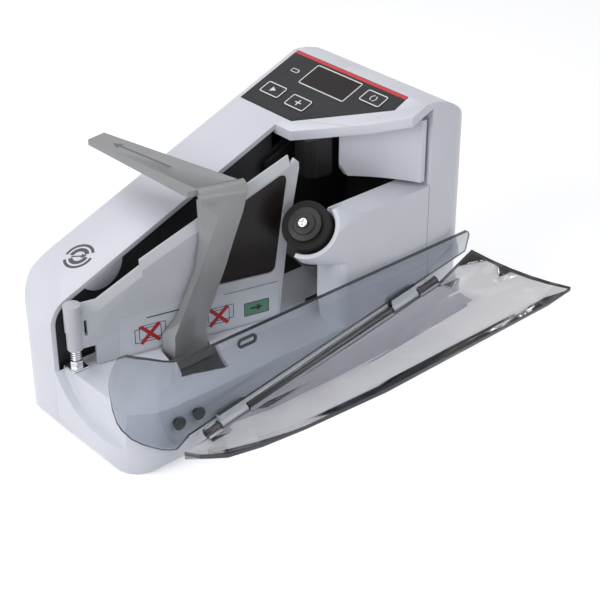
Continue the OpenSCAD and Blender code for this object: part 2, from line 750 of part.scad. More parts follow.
bracket_t = 1;
nut_h = 3;
module hinge_bracket() seat() color("silver") translate([hinge[0], hinge[1], base_h]) difference() {
    union() {
        translate([-knuckle_r, -knuckle_r, 0]) cube([2 * knuckle_r, 2 * knuckle_r, bracket_t]);
        cylinder(r = 2.9, h = bracket_t + nut_h, $fn = 6);
    }
    translate([0, 0, -1]) cylinder(r = pin_r, h = far);
}

spring_low = base_h + bracket_t + nut_h + 0.5;
spring_h = knuckle_low - spring_low - 0.6;
module hinge_spring() seat() color("silver") translate([hinge[0], hinge[1], spring_low])
    coil(2.3, 0.3, 4, spring_h);

/* ---- note arm ---- */

// Sections of the arm's upright: height, then front left, right and back left along the plate
arm_sections = [
    [22, 40.2, 55.5, 37], [37.6, 40.9, 55.3, 37.2], [43.8, 43.7, 56.1, 43.6], [64.5, 52.8, 64.5, 53],
    [77.5, 58, 69, 55.4], [89, 62.3, 73.3, 55.2], [96.4, 62.8, 75.2, 54.9]];
arm_front = -8;
arm_right_t = 2.6;
arm_back = -3;
leg_z = 98.8;
leg_outline = [[78.6, 25.8], [63.3, 100.6], [54, 99.2], [55.7, 31.5]];
// Section of the bend from the upright into the leg, as depth and height, and its ends along the plate
bend_r = 4;
bend_section = concat(
    arc(arm_front + bend_r, leg_z + leg_t - bend_r, bend_r, 180, 90, 6),
    [[arm_back, leg_z + leg_t], [arm_back, leg_z], [arm_front + arm_right_t, leg_z - 1.4],
    [arm_front + arm_right_t, 96], [arm_front, 96]]);
bend_ends = [54.9, 75.8];

module arm_section(s) translate([0, 0, s[0]]) linear_extrude(0.01)
    polygon([[s[1], arm_front], [s[2], arm_front], [s[2], arm_front + arm_right_t], [s[3], arm_back]]);

module note_arm() seat() color("#9a9c9f") {
    at_plate() for (i = [0:5]) hull() {
        arm_section(arm_sections[i]);
        arm_section(arm_sections[i + 1]);
    }
    at_plate() translate([bend_ends[0], 0, 0]) rotate([90, 0, 90])
        linear_extrude(bend_ends[1] - bend_ends[0]) polygon(bend_section);
    translate([0, 0, leg_z]) linear_extrude(leg_t) polygon(leg_outline);
}

guide_s = [36.5, 57];
rod_s = [41.5, 52.5];
rod_z = 12;
carriage_n = [-11, -1.5];
guide_n = [carriage_n[0] - arm_travel - 3, 9];
guide_t = 2.4;

// The slot in the base that the arm slides along
module arm_slot() at_plate() translate([guide_s[0] - 0.5, arm_front - arm_travel - 0.6, base_h - 2 * wall])
    cube([56.2 - guide_s[0] + 0.8, arm_travel - arm_front + arm_back + 1.2, 3 * wall]);

module arm_carriage() seat() color("#2b2d31") at_plate() difference() {
    translate([guide_s[0] + gap, carriage_n[0], 7])
        cube([guide_s[1] - guide_s[0] - 2 * gap, carriage_n[1] - carriage_n[0], 15]);
    for (s = rod_s) translate([s, carriage_n[0] - 1, rod_z]) rotate([-90, 0, 0])
        cylinder(r = rod_r + run, h = 20);
}

module guide_frame() seat() color("#3a3c40") intersection() {
    body_form(wall);
    at_plate() difference() {
        union() {
            translate([guide_s[0], guide_n[0], wall - 1])
                cube([guide_s[1] - guide_s[0], guide_n[1] - guide_n[0], 3.4]);
            for (n = [guide_n[0], guide_n[1] - guide_t]) translate([guide_s[0], n, wall - 1])
                cube([guide_s[1] - guide_s[0], guide_t, 21]);
        }
        for (s = rod_s) translate([s, guide_n[0] - 1, rod_z]) rotate([-90, 0, 0])
            cylinder(r = rod_r, h = 100);
    }
}

module guide_rods() seat() color("silver") at_plate() for (s = rod_s)
    translate([s, guide_n[0], rod_z]) rotate([-90, 0, 0]) cylinder(r = rod_r, h = guide_n[1] - guide_n[0]);

module arm_spring() seat() color("silver") at_plate()
    translate([(rod_s[0] + rod_s[1]) / 2, carriage_n[1] + 0.5, rod_z + 4]) rotate([-90, 0, 0])
        coil(2.4, 0.3, 8, guide_n[1] - guide_t - carriage_n[1] - 1);

/* ---- clear guard and tray ---- */

hinge_y = -4.2;
axis_x = 33;
axis_z = 12.6;
tube_r = tray_rod_r + 1.1;
axis_l = body_l - 55;
// Knuckles along the rod: the guard's two, and the flap's three round them
guard_knuckles = [[8, 22], [axis_l - 28, axis_l - 13]];
flap_knuckles = [[0.4, 7.4], [22.6, axis_l - 28.6], [axis_l - 12.4, axis_l - 0.4]];
module at_tray_axis() translate([axis_x, hinge_y, axis_z]) rotate([0, -tray_rise, 0]) children();
function axis_height(x) = axis_z + (x - axis_x) * tan(tray_rise);

// Closed sheet between two layers of a grid of points
module sheet(outer, inner) {
    rows = len(outer);
    cols = len(outer[0]);
    n = rows * cols;
    points = concat([for (r = outer, p = r) p], [for (r = inner, p = r) p]);
    function id(i, j) = i * cols + j;
    skins = [for (i = [0:rows - 2], j = [0:cols - 2])
        let (a = id(i, j), b = id(i, j + 1), c = id(i + 1, j + 1), d = id(i + 1, j))
        each [[a, b, c], [a, c, d], [n + a, n + c, n + b], [n + a, n + d, n + c]]];
    ends = [for (i = [0:rows - 2], j = [0, cols - 1])
        let (a = id(i, j), d = id(i + 1, j))
        each (j == 0 ? [[a, d, n + d], [a, n + d, n + a]] : [[d, a, n + d], [a, n + a, n + d]])];
    sides = [for (j = [0:cols - 2], i = [0, rows - 1])
        let (a = id(i, j), b = id(i, j + 1))
        each (i == 0 ? [[b, a, n + b], [a, n + a, n + b]] : [[a, b, n + b], [a, n + b, n + a]])];
    polyhedron(points, concat(skins, ends, sides));
}

guard_y = -1;
guard_x = [23, body_l - 2];
peg_places = [[21.6, 22.8], [31.4, 23.2]];
peg_r = 1.6;

// Wrap of the guard round the near front corner: angle in plan, then top and bottom of the sheet there
wrap_r = front_near_r + 0.6;
wrap_c = [front_near_r, wrap_r + guard_y];
wrap = [
    [201, 44.0, 40.0], [203, 47.9, 32.5], [207, 52.4, 26.4], [212, 56.6, 23.1], [222, 58.3, 19.3],
    [232, 57.6, 17.0], [242, 56.8, 15.1], [252, 55.4, 13.1], [261, 53.8, 11.6], [270, 52.4, 10.5]];

module tray_guard() seat() color("slategray", 0.4) {
    difference() {
        union() {
            slab_y(guard_y - sheet_t, guard_y) polygon([
                [guard_x[0], axis_height(guard_x[0]) + tube_r + 1],
                    [guard_x[1] - 2, axis_height(guard_x[1]) + tube_r + 1],
                [guard_x[1], guard_h - 2], [guard_x[1] - 1, guard_h], [guard_x[0], guard_h]]);
            // part between the wrap and the rod
            slab_y(guard_y - sheet_t, guard_y) polygon([
                [front_near_r - 0.2, wrap_end[2]], [front_near_r - 0.2, wrap_end[1]],
                [guard_x[0] + 3, guard_h], [guard_x[0] + 3, axis_height(guard_x[0]) + tube_r + 1]]);
            near_wrap();
        }
        for (p = peg_places) translate([p[0], 1, p[1]]) rotate([90, 0, 0]) cylinder(r = peg_r, h = 10);
    }
    // knuckles on the rod
    at_tray_axis() for (x = guard_knuckles) difference() {
        union() {
            translate([x[0], 0, 0]) rotate([0, 90, 0]) cylinder(r = tube_r, h = x[1] - x[0]);
            translate([x[0], -0.8, 0]) cube([x[1] - x[0], -hinge_y + guard_y - 0.1, 5]);
        }
        translate([x[0] - 1, 0, 0]) rotate([0, 90, 0]) cylinder(r = tray_rod_r, h = x[1] - x[0] + 2);
    }
}

wrap_end = wrap[len(wrap) - 1];
module near_wrap() {
    function column(b, out) = let (r = wrap_r + out) [for (k = [0:3])
        [wrap_c[0] + r * cos(b[0]), wrap_c[1] + r * sin(b[0]), b[2] + (b[1] - b[2]) * k / 3]];
    sheet([for (b = wrap) column(b, sheet_t)], [for (b = wrap) column(b, 0)]);
}

module tray_rod() seat() color("#4a4f55") at_tray_axis() rotate([0, 90, 0])
    cylinder(r = tray_rod_r, h = axis_l);

// Stations of the flap: inner end beside the rod, then outer edge
flap_y = hinge_y - tube_r - 0.4;
flap_turn = body_l - 26;
flap = [
    [[21, flap_y, axis_height(21)], [11.5, -19.5, 23]],
    [[26, flap_y, axis_height(26)], [13.3, -27, 25]],
    [[34, flap_y, axis_height(34)], [21, -34.8, 26]],
    [[45, flap_y, axis_height(45)], [35, 5 - tray_reach, 26.5]],
    [[62, flap_y, axis_height(62)], [55, 2.2 - tray_reach, 27]],
    [[98, flap_y, axis_height(98)], [97, -tray_reach, 27]],
    [[flap_turn, flap_y, axis_height(flap_turn)], [body_l + 10, 2 - tray_reach, 27]],
    [[body_l - 8, -10, 47], [body_l + 23.5, 1 - tray_reach, 30]]];

module tray_flap() seat() color("slategray", 0.4) {
    n = 5;
    sag = 2;
    top = [for (f = flap) [for (k = [0:n]) let (t = k / n)
        f[0] * (1 - t) + f[1] * t - [0, 0, sag * 4 * t * (1 - t)]]];
    sheet([for (r = top) [for (p = r) p - [0, 0, sheet_t]]], top);
    at_tray_axis() for (x = flap_knuckles) difference() {
        union() {
            translate([x[0], 0, 0]) rotate([0, 90, 0]) cylinder(r = tube_r, h = x[1] - x[0]);
            translate([x[0], -tube_r - 1.5, -sheet_t]) cube([x[1] - x[0], tube_r + 1.5, sheet_t]);
        }
        translate([x[0] - 1, 0, 0]) rotate([0, 90, 0]) cylinder(r = tray_rod_r + run, h = x[1] - x[0] + 2);
    }
}

module guard_pegs() seat() color("#2c2f33") for (p = peg_places) translate([p[0], wall, p[1]])
    rotate([90, 0, 0]) {
    cylinder(r = peg_r, h = wall - guard_y + sheet_t);
    translate([0, 0, wall - guard_y + sheet_t]) cylinder(r = peg_r + 1.2, h = 0.9);
}

/* ---- batteries, switch and inlet ---- */

box_t = 1.2;
cell_gap = 0.25;
bay = [2 * cell_l + 6, 2 * cell_r + cell_gap, 4 * cell_r + box_t + 2 * cell_gap];
bay_at = [door_x[0] - 3, body_w - wall - 1 - bay[1], wall + box_t + 1];
cell_z = [bay_at[2] + cell_r + cell_gap / 2, bay_at[2] + 3 * cell_r + box_t + 1.5 * cell_gap];
cell_y = bay_at[1] + cell_r + cell_gap / 2;
module battery_box() seat() color("#2a2a2c") difference() {
    translate([bay_at[0] - box_t, bay_at[1] - box_t, bay_at[2] - box_t])
        cube([bay[0] + 2 * box_t, bay[1] + box_t, bay[2] + 2 * box_t]);
    for (z = cell_z) translate([bay_at[0], bay_at[1], z - cell_r - cell_gap / 2])
        cube([bay[0], bay[1] + 1, 2 * cell_r + cell_gap]);
}

module cells() seat() color("darkseagreen") for (z = cell_z, i = [0, 1])
    translate([bay_at[0] + 2.8 + i * (cell_l + 0.2), cell_y, z]) rotate([0, 90, 0]) {
        cylinder(r = cell_r, h = cell_l - 1.2);
        translate([0, 0, cell_l - 1.2]) cylinder(r = 2.6, h = 1.2);
    }

module battery_contacts() seat() color("silver") for (z = cell_z) {
    translate([bay_at[0], cell_y - 5, z - 5]) cube([0.5, 10, 10]);
    translate([bay_at[0] + bay[0] - 0.5, cell_y - 5, z - 5]) cube([0.5, 10, 10]);
    translate([bay_at[0] + 0.8, cell_y, z]) rotate([0, 90, 0]) coil(3, 0.3, 2, 1.5);
}

pivot_l = 1.4;
pivot_r = 0.7;
module battery_door() seat() color("whitesmoke") {
    translate([door_x[0] + gap, body_w - wall, door_z[0]])
        cube([door_x[1] - door_x[0] - 2 * gap, wall, door_z[1] - door_z[0] - gap]);
    translate([door_x[0] + gap, body_w - wall / 2, door_z[0]]) rotate([0, 90, 0])
        cylinder(r = wall / 2, h = door_x[1] - door_x[0] - 2 * gap);
    translate([door_x[0] - pivot_l, body_w - wall / 2, door_z[0]]) rotate([0, 90, 0])
        cylinder(r = pivot_r, h = door_x[1] - door_x[0] + 2 * pivot_l);
}

knob_travel = 3;
module switch_body() seat() color("#1d1d1f")
    translate([switch_at[0] - 8, body_w - wall - 6, switch_at[1] - 4.5]) cube([16, 6 - 0.1, 9]);
module switch_knob() seat() color("#222224")
    translate([switch_at[0] - knob_travel / 2 - 2.5, body_w - wall, switch_at[1] - 2.2])
        cube([5, wall + 1, 4.4]);

inlet_collar = 8;
module power_inlet() seat() color("#151517")
    translate([inlet_at[0], body_w - wall - inlet_collar + 1, inlet_at[1]]) rotate([-90, 0, 0])
    difference() {
        cylinder(r = inlet_r + 0.9, h = inlet_collar + wall - 1);
        translate([0, 0, 2]) cylinder(r = inlet_r, h = far);
    }
module inlet_pin() seat() color("silver")
    translate([inlet_at[0], body_w - wall - inlet_collar + 3, inlet_at[1]]) rotate([-90, 0, 0])
    cylinder(r = 1, h = 6);

rear_shell();
front_shell();
base_plate();
case_screws();
foot_pads();
recess_wall();
feed_liner();
roller_cover();
roller_tyre();
roller_hub();
roller_shaft();
roller_screw();
shaft_bushes();
drive_gear();
motor_pinion();
motor_shaft();
motor();
motor_screws();
gear_case();
sensor_block();
control_overlay();
display_window();
display_module();
key_membrane();
key_domes();
key_start();
key_add();
key_clear();
main_board();
display_board();
board_parts();
board_screws();
pressure_plate();
plate_window();
plate_label();
hinge_pin();
hinge_bracket();
hinge_spring();
note_arm();
arm_carriage();
guide_frame();
guide_rods();
arm_spring();
tray_guard();
tray_flap();
tray_rod();
guard_pegs();
battery_box();
cells();
battery_contacts();
battery_door();
switch_body();
switch_knob();
power_inlet();
inlet_pin();
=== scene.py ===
import math

import bmesh
import bpy
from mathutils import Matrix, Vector


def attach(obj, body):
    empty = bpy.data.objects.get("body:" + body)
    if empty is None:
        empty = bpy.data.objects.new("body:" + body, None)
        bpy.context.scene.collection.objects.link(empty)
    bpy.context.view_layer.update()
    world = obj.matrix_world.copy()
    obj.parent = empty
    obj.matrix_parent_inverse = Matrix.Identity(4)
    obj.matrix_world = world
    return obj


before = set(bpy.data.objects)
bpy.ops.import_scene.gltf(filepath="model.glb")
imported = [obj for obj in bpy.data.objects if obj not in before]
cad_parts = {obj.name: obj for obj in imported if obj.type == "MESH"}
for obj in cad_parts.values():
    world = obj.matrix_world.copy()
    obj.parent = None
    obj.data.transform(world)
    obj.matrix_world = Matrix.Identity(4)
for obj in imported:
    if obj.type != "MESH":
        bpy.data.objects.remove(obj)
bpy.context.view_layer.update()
scene = bpy.context.scene


# ---------------------------------------------------------------------------
# The table and the light. The machine stands on a pale floor that carries on
# out of sight, under one broad soft lamp above and a weaker one at each side.

LENS = 90.6
SENSOR = 36
NEAREST = 0.01
EYE = (-0.35964, -0.4492, 0.37399)
LOOK = (math.radians(59.13), 0, math.radians(-41.07))
FLOOR_HALF = 4.0
FLOOR_DROP = 0.0002
FLOOR_TONE = (0.86, 0.86, 0.87, 1)
FLOOR_ROUGHNESS = 0.9
FLOOR_GLOW = 0.42
# name, place, what it points at, side in metres, watts
LAMPS = [
    ("overhead", (-0.15, 0.25, 0.95), (0.0, 0.0, 0.0), 0.9, 4.1),
    ("left_side", (-0.90, -0.05, 0.50), (0.0, 0.0, 0.05), 0.6, 4.3),
    ("front_side", (0.30, -0.95, 0.45), (0.0, 0.0, 0.04), 0.7, 2.0),
]
SKY_TONE = (0.93, 0.95, 1.0, 1)
SKY_STRENGTH = 0.30

lens = bpy.data.cameras.new("camera")
lens.lens = LENS
lens.sensor_width = SENSOR
lens.clip_start = NEAREST
camera = bpy.data.objects.new("camera", lens)
camera.location = EYE
camera.rotation_euler = LOOK
scene.collection.objects.link(camera)
scene.camera = camera
scene.view_settings.view_transform = "Standard"

for lamp_name, place, target, side, power in LAMPS:
    light = bpy.data.lights.new(lamp_name, "AREA")
    light.shape = "SQUARE"
    light.size = side
    light.energy = power
    lamp = bpy.data.objects.new(lamp_name, light)
    lamp.location = place
    aim = Vector(target) - Vector(place)
    lamp.rotation_euler = aim.to_track_quat("-Z", "Y").to_euler()
    scene.collection.objects.link(lamp)


def white_to_the_eye(tree, seen, otherwise, output):
    """Shows one shader to the camera, in gloss and through glass, and the other to the light."""
    path = tree.nodes.new("ShaderNodeLightPath")
    eye_or_gloss = tree.nodes.new("ShaderNodeMath")
    eye_or_gloss.operation = "MAXIMUM"
    or_through = tree.nodes.new("ShaderNodeMath")
    or_through.operation = "MAXIMUM"
    pick = tree.nodes.new("ShaderNodeMixShader")
    tree.links.new(path.outputs["Is Camera Ray"], eye_or_gloss.inputs[0])
    tree.links.new(path.outputs["Is Glossy Ray"], eye_or_gloss.inputs[1])
    tree.links.new(eye_or_gloss.outputs[0], or_through.inputs[0])
    tree.links.new(path.outputs["Is Transmission Ray"], or_through.inputs[1])
    tree.links.new(or_through.outputs[0], pick.inputs[0])
    tree.links.new(otherwise, pick.inputs[1])
    tree.links.new(seen, pick.inputs[2])
    tree.links.new(pick.outputs[0], output)


sky = bpy.data.worlds.new("sky")
scene.world = sky
sky.use_nodes = True
sky_tree = sky.node_tree
sky_light = sky_tree.nodes["Background"]
sky_light.inputs["Color"].default_value = SKY_TONE
sky_light.inputs["Strength"].default_value = SKY_STRENGTH
sky_seen = sky_tree.nodes.new("ShaderNodeBackground")
sky_seen.inputs["Color"].default_value = (1, 1, 1, 1)
white_to_the_eye(sky_tree, sky_seen.outputs[0], sky_light.outputs[0],
                 sky_tree.nodes["World Output"].inputs["Surface"])

floor_mesh = bpy.data.meshes.new("floor")
floor_mesh.from_pydata(
    [(-FLOOR_HALF, -FLOOR_HALF, 0), (FLOOR_HALF, -FLOOR_HALF, 0),
     (FLOOR_HALF, FLOOR_HALF, 0), (-FLOOR_HALF, FLOOR_HALF, 0)], [], [(0, 1, 2, 3)])
floor = bpy.data.objects.new("floor", floor_mesh)
floor.location.z = -FLOOR_DROP
scene.collection.objects.link(floor)
floor_paint = bpy.data.materials.new("floor_paint")
floor_paint.use_nodes = True
floor_tree = floor_paint.node_tree
floor_base = floor_tree.nodes["Principled BSDF"]
floor_base.inputs["Base Color"].default_value = FLOOR_TONE
floor_base.inputs["Roughness"].default_value = FLOOR_ROUGHNESS
# the floor glows a little to the eye, so that it reads white but keeps the machine's shadow
floor_glow = floor_tree.nodes.new("ShaderNodeEmission")
floor_glow.inputs["Strength"].default_value = FLOOR_GLOW
floor_seen = floor_tree.nodes.new("ShaderNodeAddShader")
floor_tree.links.new(floor_base.outputs[0], floor_seen.inputs[0])
floor_tree.links.new(floor_glow.outputs[0], floor_seen.inputs[1])
white_to_the_eye(floor_tree, floor_seen.outputs[0], floor_base.outputs[0],
                 floor_tree.nodes["Material Output"].inputs["Surface"])
floor_mesh.materials.append(floor_paint)


# ---------------------------------------------------------------------------
# The housing. Two mouldings of white gloss plastic, a rear spine and a front
# base with its tower, that meet in a fine line and are screwed together from
# below. Every outer edge is rounded by the mould.

BODY_L, BODY_W = 189, 88
EDGE_STEPS = 3
FLAT_ANGLE = math.radians(0.8)
EDGE_ANGLE = math.radians(28)
WELD = 0.00001
# the grain's bump and noise, and the broad mottling: cells in a metre and where its tones part
BUMP_STRENGTH = 0.5
FINE_DETAIL, BROAD_DETAIL = 3, 4
BROAD_CELLS = 60
MOTTLE_FROM, MOTTLE_TO = 0.35, 0.65
LEAST_ROUGHNESS = 0.02
GLOSS_SPREAD = 0.06


def at(x, y, z):
    """A place in metres from millimetres measured at the near front corner of the base."""
    return Vector(((x - BODY_L / 2) / 1000, (y - BODY_W / 2) / 1000, z / 1000))


def round_edges(name, radius, angle=EDGE_ANGLE):
    """Rounds the sharp edges of a solid by a radius in millimetres."""
    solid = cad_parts[name]
    join = solid.modifiers.new("join", "WELD")
    join.merge_threshold = WELD
    flat = solid.modifiers.new("flat", "DECIMATE")
    flat.decimate_type = "DISSOLVE"
    flat.angle_limit = FLAT_ANGLE
    edge = solid.modifiers.new("edge", "BEVEL")
    edge.width = radius / 1000
    edge.segments = EDGE_STEPS
    edge.limit_method = "ANGLE"
    edge.angle_limit = angle
    edge.harden_normals = True
    for face in solid.data.polygons:
        face.use_smooth = True
    return solid


def plain(name, colour, roughness, **sockets):
    """A material with one Principled shader; sockets are set by name with _ for spaces."""
    material = bpy.data.materials.new(name)
    material.use_nodes = True
    shader = material.node_tree.nodes["Principled BSDF"]
    shader.inputs["Base Color"].default_value = (*colour, 1)
    shader.inputs["Roughness"].default_value = roughness
    for socket, value in sockets.items():
        shader.inputs[socket.replace("_", " ")].default_value = value
    return material


def grained(material, size, depth, mottle=0.04):
    """Adds a grain of a size and depth in millimetres: bump, faint mottling and uneven gloss."""
    tree = material.node_tree
    shader = tree.nodes["Principled BSDF"]
    places = tree.nodes.new("ShaderNodeTexCoord")
    fine = tree.nodes.new("ShaderNodeTexNoise")
    fine.inputs["Scale"].default_value = 1000 / size
    fine.inputs["Detail"].default_value = FINE_DETAIL
    broad = tree.nodes.new("ShaderNodeTexNoise")
    broad.inputs["Scale"].default_value = BROAD_CELLS
    broad.inputs["Detail"].default_value = BROAD_DETAIL
    tree.links.new(places.outputs["Object"], fine.inputs["Vector"])
    tree.links.new(places.outputs["Object"], broad.inputs["Vector"])
    bump = tree.nodes.new("ShaderNodeBump")
    bump.inputs["Strength"].default_value = BUMP_STRENGTH
    bump.inputs["Distance"].default_value = depth / 1000
    tree.links.new(fine.outputs["Fac"], bump.inputs["Height"])
    tree.links.new(bump.outputs[0], shader.inputs["Normal"])
    gloss = tree.nodes.new("ShaderNodeMapRange")
    middle = shader.inputs["Roughness"].default_value
    gloss.inputs["To Min"].default_value = max(LEAST_ROUGHNESS, middle - GLOSS_SPREAD)
    gloss.inputs["To Max"].default_value = min(1, middle + GLOSS_SPREAD)
    tree.links.new(broad.outputs["Fac"], gloss.inputs["Value"])
    tree.links.new(gloss.outputs[0], shader.inputs["Roughness"])
    colour = shader.inputs["Base Color"].default_value[:]
    tone = tree.nodes.new("ShaderNodeValToRGB")
    tone.color_ramp.elements[0].position = MOTTLE_FROM
    tone.color_ramp.elements[1].position = MOTTLE_TO
    darker = [c * (1 - mottle) for c in colour[:3]]
    lighter = [min(1, c * (1 + mottle)) for c in colour[:3]]
    tone.color_ramp.elements[0].color = (*darker, 1)
    tone.color_ramp.elements[1].color = (*lighter, 1)
    tree.links.new(broad.outputs["Fac"], tone.inputs["Fac"])
    tree.links.new(tone.outputs["Color"], shader.inputs["Base Color"])
    return material


def dress(material, *names):
    """Gives CAD solids a material."""
    for name in names:
        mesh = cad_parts[name].data
        mesh.materials.clear()
        mesh.materials.append(material)


SHELL_TONE = (0.66, 0.675, 0.735)
shell_white = grained(
    plain("shell_white", SHELL_TONE, roughness=0.36, Coat_Weight=0.25, Coat_Roughness=0.18),
    size=0.35, depth=0.012, mottle=0.012)
round_edges("rear_shell", radius=1.6)
round_edges("front_shell", radius=0.9)
dress(shell_white, "rear_shell", "front_shell")


# ---------------------------------------------------------------------------
# The underside: a plate of greyer plastic let into the base, held by screws,
# with rubber feet pressed into round seats.

base_grey = grained(plain("base_grey", (0.52, 0.53, 0.55), roughness=0.6), size=0.5, depth=0.03)
screw_steel = grained(
    plain("screw_steel", (0.60, 0.60, 0.62), roughness=0.32, Metallic=1.0), size=0.2, depth=0.004)
foot_rubber = grained(
    plain("foot_rubber", (0.028, 0.028, 0.03), roughness=0.78),
    size=0.4, depth=0.03)
round_edges("base_plate", radius=0.3)
round_edges("foot_pads", radius=0.3)
round_edges("case_screws", radius=0.15)
dress(base_grey, "base_plate")
dress(screw_steel, "case_screws", "roller_screw", "motor_screws", "board_screws")
dress(foot_rubber, "foot_pads")


# ---------------------------------------------------------------------------
# The feed chamber. Its walls and the note sensor's block are moulded in black
# plastic with a dull grain, so that stray light doesn't reach the sensor.

chamber_black = grained(
    plain("chamber_black", (0.009, 0.009, 0.010), roughness=0.5, Specular_IOR_Level=0.3),
    size=0.4, depth=0.02)
# painted light: the recess wall gets a lighter copy of the chamber's black plastic, standing in for
# the light that falls on it
recess_black_painted_light = grained(
    plain("recess_black_painted_light", (0.040, 0.041, 0.045), roughness=0.5, Specular_IOR_Level=0.3),
    size=0.4, depth=0.02)
round_edges("recess_wall", radius=0.3)
round_edges("feed_liner", radius=0.3)
round_edges("sensor_block", radius=0.5)
dress(recess_black_painted_light, "recess_wall")
dress(chamber_black, "feed_liner", "sensor_block")


# ---------------------------------------------------------------------------
# The roller cover. A white moulding over the drive, with a shroud that curls
# round the feed roller, pushed onto the base from above.

round_edges("roller_cover", radius=0.8)
dress(shell_white, "roller_cover")


# ---------------------------------------------------------------------------
# The feed roller. A tyre of black rubber on a stepped plastic hub, held to a
# steel shaft by one cross-head screw. The shaft runs in two bronze bushes.

tyre_black = grained(
    plain("tyre_black", (0.008, 0.008, 0.008), roughness=0.7, Specular_IOR_Level=0.25),
    size=0.3, depth=0.05)
hub_black = grained(
    plain("hub_black", (0.008, 0.008, 0.009), roughness=0.4, Specular_IOR_Level=0.35),
    size=0.5, depth=0.01)
shaft_steel = grained(
    plain("shaft_steel", (0.62, 0.62, 0.64), roughness=0.22, Metallic=1.0), size=0.15, depth=0.003)
bush_bronze = grained(
    plain("bush_bronze", (0.42, 0.26, 0.11), roughness=0.4, Metallic=1.0), size=0.2, depth=0.01)
round_edges("roller_tyre", radius=0.7)
round_edges("roller_hub", radius=0.3)
round_edges("roller_screw", radius=0.12)
dress(tyre_black, "roller_tyre")
dress(hub_black, "roller_hub")
dress(shaft_steel, "roller_shaft", "motor_shaft", "guide_rods", "hinge_pin")
dress(bush_bronze, "shaft_bushes")


# ---------------------------------------------------------------------------
# The drive behind the cover: a nylon gear on the roller's shaft, a brass
# pinion on the motor's, and a black gear case that carries both.

gear_nylon = grained(plain("gear_nylon", (0.70, 0.67, 0.56), roughness=0.45), size=0.3, depth=0.01)
pinion_brass = grained(
    plain("pinion_brass", (0.62, 0.44, 0.16), roughness=0.28, Metallic=1.0), size=0.2, depth=0.004)
motor_steel = grained(
    plain("motor_steel", (0.45, 0.45, 0.47), roughness=0.35, Metallic=1.0), size=0.4, depth=0.006)
case_black = grained(
    plain("case_black", (0.018, 0.018, 0.020), roughness=0.5),
    size=0.5, depth=0.02)
round_edges("gear_case", radius=0.3)
round_edges("motor", radius=0.6)
dress(gear_nylon, "drive_gear")
dress(pinion_brass, "motor_pinion")
dress(motor_steel, "motor")
dress(case_black, "gear_case")


# ---------------------------------------------------------------------------
# The control panel. A charcoal plate let into the roof, printed with a red
# line along the crest and pale outlines, with a dark window over the digits
# and three keys that press domes on a membrane.

SLOPE = math.radians(21.5)
CREST = (158.7, 119.93)


def on_slope(down, y, up=0.0):
    """A place on the sloping top: millimetres down from the crest, across, and out of it."""
    return at(CREST[0] - down * math.cos(SLOPE) - up * math.sin(SLOPE), y,
              CREST[1] - down * math.sin(SLOPE) + up * math.cos(SLOPE))


def piece(name, verts, faces, body, slot, material):
    """A new piece from its points and faces, riding on a body."""
    mesh = bpy.data.meshes.new(name)
    mesh.from_pydata([tuple(v) for v in verts], [], faces)
    mesh.validate()
    shape = bmesh.new()
    shape.from_mesh(mesh)
    bmesh.ops.recalc_face_normals(shape, faces=shape.faces)
    shape.to_mesh(mesh)
    shape.free()
    mesh.shade_flat()
    mesh.materials.append(material)
    new = bpy.data.objects.new(name, mesh)
    scene.collection.objects.link(new)
    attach(new, body)
    return new


def slab(outline, place, low, high):
    """Points and faces of a flat shape with a thickness; place(a, b, height) gives a point."""
    n = len(outline)
    verts = [place(a, b, low) for a, b in outline] + [place(a, b, high) for a, b in outline]
    faces = [tuple(range(n)), tuple(range(2 * n - 1, n - 1, -1))]
    faces += [(i, (i + 1) % n, n + (i + 1) % n, n + i) for i in range(n)]
    return verts, faces


def band(outer, inner, place, low, high):
    """Points and faces of a closed line of print between two outlines with as many points."""
    n = len(outer)
    rings = ((outer, low), (inner, low), (outer, high), (inner, high))
    verts = [place(a, b, height) for ring, height in rings for a, b in ring]
    faces = []
    for i in range(n):
        j = (i + 1) % n
        faces += [(i, j, n + j, n + i), (2 * n + i, 3 * n + i, 3 * n + j, 2 * n + j),
                  (i, 2 * n + i, 2 * n + j, j), (n + i, n + j, 3 * n + j, 3 * n + i)]
    return verts, faces


def round_rect(a0, b0, a1, b1, r, steps=5):
    """Outline of a rectangle with round corners."""
    corners = [((a1 - r, b1 - r), 0), ((a0 + r, b1 - r), 90),
               ((a0 + r, b0 + r), 180), ((a1 - r, b0 + r), 270)]
    return [(c[0] + r * math.cos(math.radians(start + 90 * k / steps)),
             c[1] + r * math.sin(math.radians(start + 90 * k / steps)))
            for c, start in corners for k in range(steps + 1)]


SHARPEST = 0.1


def frame_line(name, box, radius, line, place, low, high, body, slot, material):
    """A printed outline of a round-cornered box, a line of a given width drawn inward."""
    a0, b0, a1, b1 = box
    outer = round_rect(a0, b0, a1, b1, radius)
    inner = round_rect(a0 + line, b0 + line, a1 - line, b1 - line, max(SHARPEST, radius - line))
    return piece(name, *band(outer, inner, place, low, high), body, slot, material)


# millimetres: keys and window as (down, across) from the crest, then their size
KEY_L, KEY_W = 12.6, 7.4
KEYS = {"start": (22, 65.3), "add": (22.9, 47.6), "clear": (4.5, 18.2)}
DISPLAY = (3.8, 36.4, 12.2, 28)
panel_charcoal = grained(
    plain("panel_charcoal", (0.016, 0.0165, 0.019), roughness=0.42, Specular_IOR_Level=0.22),
    size=0.5, depth=0.01)
print_red = plain("print_red", (0.56, 0.018, 0.028), roughness=0.38)
print_white = plain("print_white", (0.72, 0.72, 0.72), roughness=0.45)
window_smoke = plain("window_smoke", (0.013, 0.007, 0.008), roughness=0.16, Specular_IOR_Level=0.22)
round_edges("control_overlay", radius=0.25)
for key in KEYS:
    round_edges(f"key_{key}", radius=0.2)
dress(panel_charcoal, "control_overlay", "key_start", "key_add", "key_clear")
dress(window_smoke, "display_window")


PRINT_LOW, PRINT_HIGH = 0.08, 0.18
LINE_W = 0.55


